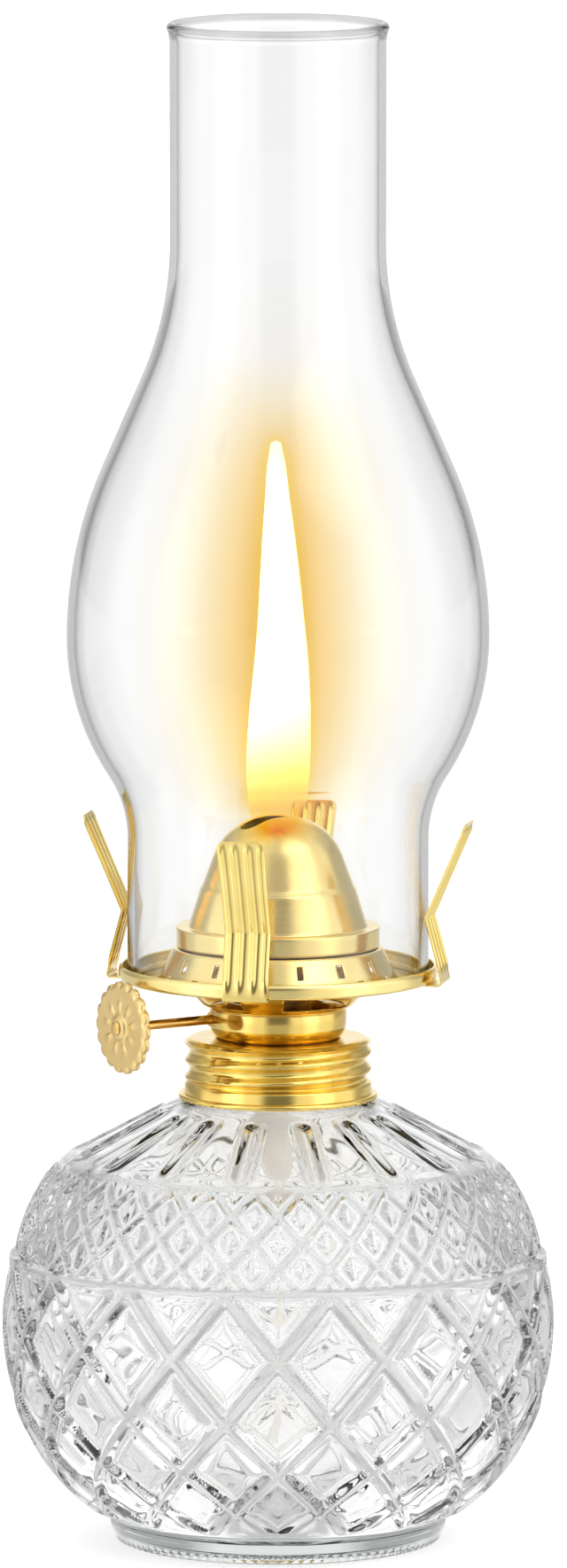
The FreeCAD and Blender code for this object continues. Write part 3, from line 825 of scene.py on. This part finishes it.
def flame_shape(grow, low_z, high_z, rows=60, columns=48):
    """Leaf shape, wide along the wick and thin across it. grow widens it, in millimetres."""
    heights = np.array([159.2, 161.5, 165, 169, 174, 184, 194, 204, 214, 223, 231, 238, 243])
    half = np.array([6.4, 7.2, 7.8, 8.2, 8.3, 7.9, 7.0, 5.9, 4.9, 3.9, 2.9, 2.2, 1.2])
    share = np.linspace(0, 1, rows)
    z = low_z + (high_z - low_z) * share
    source = heights[0] + (heights[-1] - heights[0]) * share
    half_x = np.interp(source, heights, half) + grow * np.sqrt(np.maximum(1 - (2 * share - 1) ** 8, 0))
    thin = 0.29 + 0.4 * step_up(source, 195.0, 240.0)
    half_y = np.maximum(half_x * thin, 0.3) + grow * 0.6
    a = around(columns)
    sway = 0.9 * np.sin((z - 156) * 0.045) * step_up(z, 165.0, 200.0)
    x = half_x[:, None] * np.cos(a) + sway[:, None]
    y = half_y[:, None] * np.sin(a)
    points = np.stack([x, y, z[:, None] + 0 * x], axis=2)
    ends = [[sway[0], 0, z[0] - 0.2], [sway[-1], 0, z[-1] + 0.6]]
    return np.vstack([points.reshape(-1, 3), ends]), capped(rows, columns)


def egg(half, low_z, high_z, rows=40, columns=48):
    """A soft upright egg, for the glow in the air. It is fuller below."""
    t = np.linspace(0.02, 0.98, rows) * math.pi
    z = (low_z + high_z) / 2 - (high_z - low_z) / 2 * np.cos(t)
    a = around(columns)
    r = half * np.sin(t + 0.2 * np.sin(t)) ** 0.62
    points = np.stack([r[:, None] * np.cos(a), 0.8 * r[:, None] * np.sin(a), z[:, None] + 0 * a], axis=2)
    ends = [[0, 0, low_z], [0, 0, high_z]]
    return np.vstack([points.reshape(-1, 3), ends]), capped(rows, columns)


# half width and density of each layer of the glow
GLOW_LAYERS = ((11.0, 11.0), (13.5, 14.0), (16.5, 13.0), (20.0, 9.0), (24.5, 6.0), (29.0, 4.5), (34.0, 3.0))


def make_flame():
    """The flame, and nested layers of tinted volume round it, a painted glow that reads as its halo on a
    white ground.
    """
    _, _, wick_top = extent("wick")
    foot, tip = wick_top + 3.9, wick_top + 86.5
    fire = flame_glow(foot * MM, tip * MM)
    points, faces = flame_shape(0.0, foot, tip)
    add_mesh("flame", points, faces, fire, "burner", crease=80)
    points, faces = flame_shape(2.2, foot + 1.0, tip + 2.0)
    add_mesh("glow_edge", points, faces, painted_glow("glow_edge", (1.0, 0.94, 0.0), 60.0), "burner")
    for i, (half, density) in enumerate(GLOW_LAYERS):
        points, faces = egg(half, foot + 4.0 - 0.25 * half, tip + 0.8 * (half - 8.0))
        add_mesh(f"glow_{i}", points, faces, painted_glow(f"glow_{i}", (1.0, 0.76, 0.1), density), "burner")


# --- carried-over CAD nodes ------------------------------------------------------------------------
def dress_cad_nodes():
    """Smooth shading, sharp edges by angle and materials for the inner parts whose CAD shape is kept."""
    kept = {
        "spindle_bush": PLAIN,
        "spindle_bracket": PLAIN,
        "wick_tube": PLAIN,
        "air_diffuser": PLAIN,
        "tube_plate": PLAIN,
        "spindle_washer": PLAIN,
        "sprocket_inner": PLAIN,
        "sprocket_outer": PLAIN,
        "collar_gasket": RUBBER,
    }
    for name, material in kept.items():
        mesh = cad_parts[name].data
        mesh.shade_smooth()
        mesh.set_sharp_from_angle(angle=math.radians(30))
        mesh.materials.clear()
        mesh.materials.append(material)


# --- floor, light and camera -----------------------------------------------------------------------
ROOM_LIGHT = 2.4  # strength of what the glass and the brass mirror
FLOOR_R = 9.0
LAMP_AZIMUTH, LAMP_ELEVATION = CAMERA_AZIMUTH + math.radians(46), math.radians(48)


def direction(azimuth, elevation):
    """Unit vector from the lamp; azimuth 0 is the -Y side."""
    flat = math.cos(elevation)
    return Vector((math.sin(azimuth) * flat, -math.cos(azimuth) * flat, math.sin(elevation)))


def walls_round(tree, place):
    """Brightness of the room by direction: 0 is straight behind the lamp, 1 is towards the lens."""
    flat = add_node(tree, "ShaderNodeVectorMath", {1: (1, 1, 0)}, operation="MULTIPLY")
    tree.links.new(place, flat.inputs[0])
    unit = add_node(tree, "ShaderNodeVectorMath", operation="NORMALIZE")
    tree.links.new(flat.outputs["Vector"], unit.inputs[0])
    dot = add_node(tree, "ShaderNodeVectorMath", {1: direction(CAMERA_AZIMUTH, 0)}, operation="DOT_PRODUCT")
    tree.links.new(unit.outputs["Vector"], dot.inputs[0])
    side = remap(tree, dot.outputs["Value"], 0.0, 1.0, (-1.0, 1.0))
    stops = [(0.0, 0.46), (0.015, 0.46), (0.045, 0.2), (0.12, 0.17), (0.3, 0.21), (0.4, 0.5), (0.62, 0.5)]
    stops += [(0.7, 0.85), (0.8, 0.85), (0.88, 0.5), (0.955, 0.45), (0.985, 0.1), (1.0, 0.09)]
    return ramp(tree, side, greys(stops))


def make_floor():
    """A white floor. Mirrored in the brass it is darker towards the lens, as the room's walls are."""
    material, tree, shader = new_material("floor")
    place = add_node(tree, "ShaderNodeTexCoord").outputs["Object"]
    mirrored = add_node(tree, "ShaderNodeEmission", {"Strength": ROOM_LIGHT})
    softer = add_node(tree, "ShaderNodeMix", {"Factor": 0.5, "B": (0.4, 0.4, 0.4, 1.0)}, data_type="RGBA")
    tree.links.new(walls_round(tree, place), softer.inputs["A"])
    tree.links.new(softer.outputs["Result"], mirrored.inputs["Color"])
    grain = noise(tree, object_place(tree, (1, 1, 1)), 6, 2)
    tree.links.new(ramp(tree, grain, greys([(0.3, 0.9), (0.7, 0.93)])), shader.inputs["Base Color"])
    shader.inputs["Roughness"].default_value = 0.7
    shader.inputs["Emission Color"].default_value = (1, 1, 1, 1)
    shader.inputs["Emission Strength"].default_value = 0.4
    choose = add_node(tree, "ShaderNodeMixShader")
    tree.links.new(add_node(tree, "ShaderNodeLightPath").outputs["Is Camera Ray"], choose.inputs["Fac"])
    tree.links.new(mirrored.outputs["Emission"], choose.inputs[1])
    tree.links.new(shader.outputs["BSDF"], choose.inputs[2])
    tree.links.new(choose.outputs["Shader"], tree.nodes["Material Output"].inputs["Surface"])
    sides, a = 64, around(64)
    edge = FLOOR_R * np.stack([np.cos(a), np.sin(a), 0 * a], axis=1)
    mesh = bpy.data.meshes.new("floor")
    faces = [(0, j + 1, (j + 1) % sides + 1) for j in range(sides)]
    mesh.from_pydata([(0, 0, 0), *edge.tolist()], [], faces)
    mesh.materials.append(material)
    floor = bpy.data.objects.new("floor", mesh)
    bpy.context.scene.collection.objects.link(floor)


def make_studio():
    """A white room: bright walls to the left, right and behind the lamp, with darker gaps between."""
    world = bpy.data.worlds.new("studio")
    bpy.context.scene.world = world
    world.use_nodes = True
    tree = world.node_tree
    tree.nodes.clear()
    place = add_node(tree, "ShaderNodeTexCoord").outputs["Generated"]
    split = add_node(tree, "ShaderNodeSeparateXYZ")
    tree.links.new(place, split.inputs["Vector"])
    ceiling = add_node(tree, "ShaderNodeMix", {"B": (0.45, 0.45, 0.45, 1.0)}, data_type="RGBA")
    tree.links.new(remap(tree, split.outputs["Z"], 0.0, 0.8, (0.35, 0.75)), ceiling.inputs["Factor"])
    tree.links.new(walls_round(tree, place), ceiling.inputs["A"])
    towards = direction(LAMP_AZIMUTH, LAMP_ELEVATION)
    dot = add_node(tree, "ShaderNodeVectorMath", {1: towards}, operation="DOT_PRODUCT")
    tree.links.new(place, dot.inputs[0])
    lamp = add_node(tree, "ShaderNodeMix", {"B": (1.15, 1.15, 1.15, 1.0)}, data_type="RGBA")
    tree.links.new(remap(tree, dot.outputs["Value"], 0.0, 1.0, (0.9, 0.985)), lamp.inputs["Factor"])
    tree.links.new(ceiling.outputs["Result"], lamp.inputs["A"])
    room = add_node(tree, "ShaderNodeBackground", {"Strength": ROOM_LIGHT})
    tree.links.new(lamp.outputs["Result"], room.inputs["Color"])
    plain = add_node(tree, "ShaderNodeBackground", {"Color": (1, 1, 1, 1), "Strength": 1.0})
    seen = add_node(tree, "ShaderNodeLightPath")
    choose = add_node(tree, "ShaderNodeMixShader")
    tree.links.new(seen.outputs["Is Camera Ray"], choose.inputs["Fac"])
    tree.links.new(room.outputs["Background"], choose.inputs[1])
    tree.links.new(plain.outputs["Background"], choose.inputs[2])
    output = add_node(tree, "ShaderNodeOutputWorld")
    tree.links.new(choose.outputs["Shader"], output.inputs["Surface"])


def make_camera():
    data = bpy.data.cameras.new("camera")
    data.sensor_width = SENSOR
    data.lens = SENSOR * CAMERA_DISTANCE / IMAGE_HEIGHT_SPAN
    data.clip_start, data.clip_end = 0.1, 40.0
    camera = bpy.data.objects.new("camera", data)
    back = direction(CAMERA_AZIMUTH, CAMERA_ELEVATION)
    right = Vector((math.cos(CAMERA_AZIMUTH), math.sin(CAMERA_AZIMUTH), 0))
    aim = Vector((0, 0, CAD_HIGH.z / 2)) + right * AIM_ASIDE
    camera.location = aim + back * CAMERA_DISTANCE
    camera.rotation_mode = "QUATERNION"
    camera.rotation_quaternion = (-back).to_track_quat("-Z", "Y")
    bpy.context.scene.collection.objects.link(camera)
    bpy.context.scene.camera = camera


bpy.context.scene.view_settings.view_transform = "Standard"
make_camera()
make_studio()
make_floor()
make_font()
make_chimney()
make_collar()
make_drum()
make_basket()
make_gallery()
make_deflector()
for prong, degrees in (("prong_front", -135), ("prong_right", -45), ("prong_back", 45), ("prong_left", 135)):
    make_prong(prong, degrees)
make_spindle()
make_thumbwheel()
make_wick()
make_flame()
dress_cad_nodes()
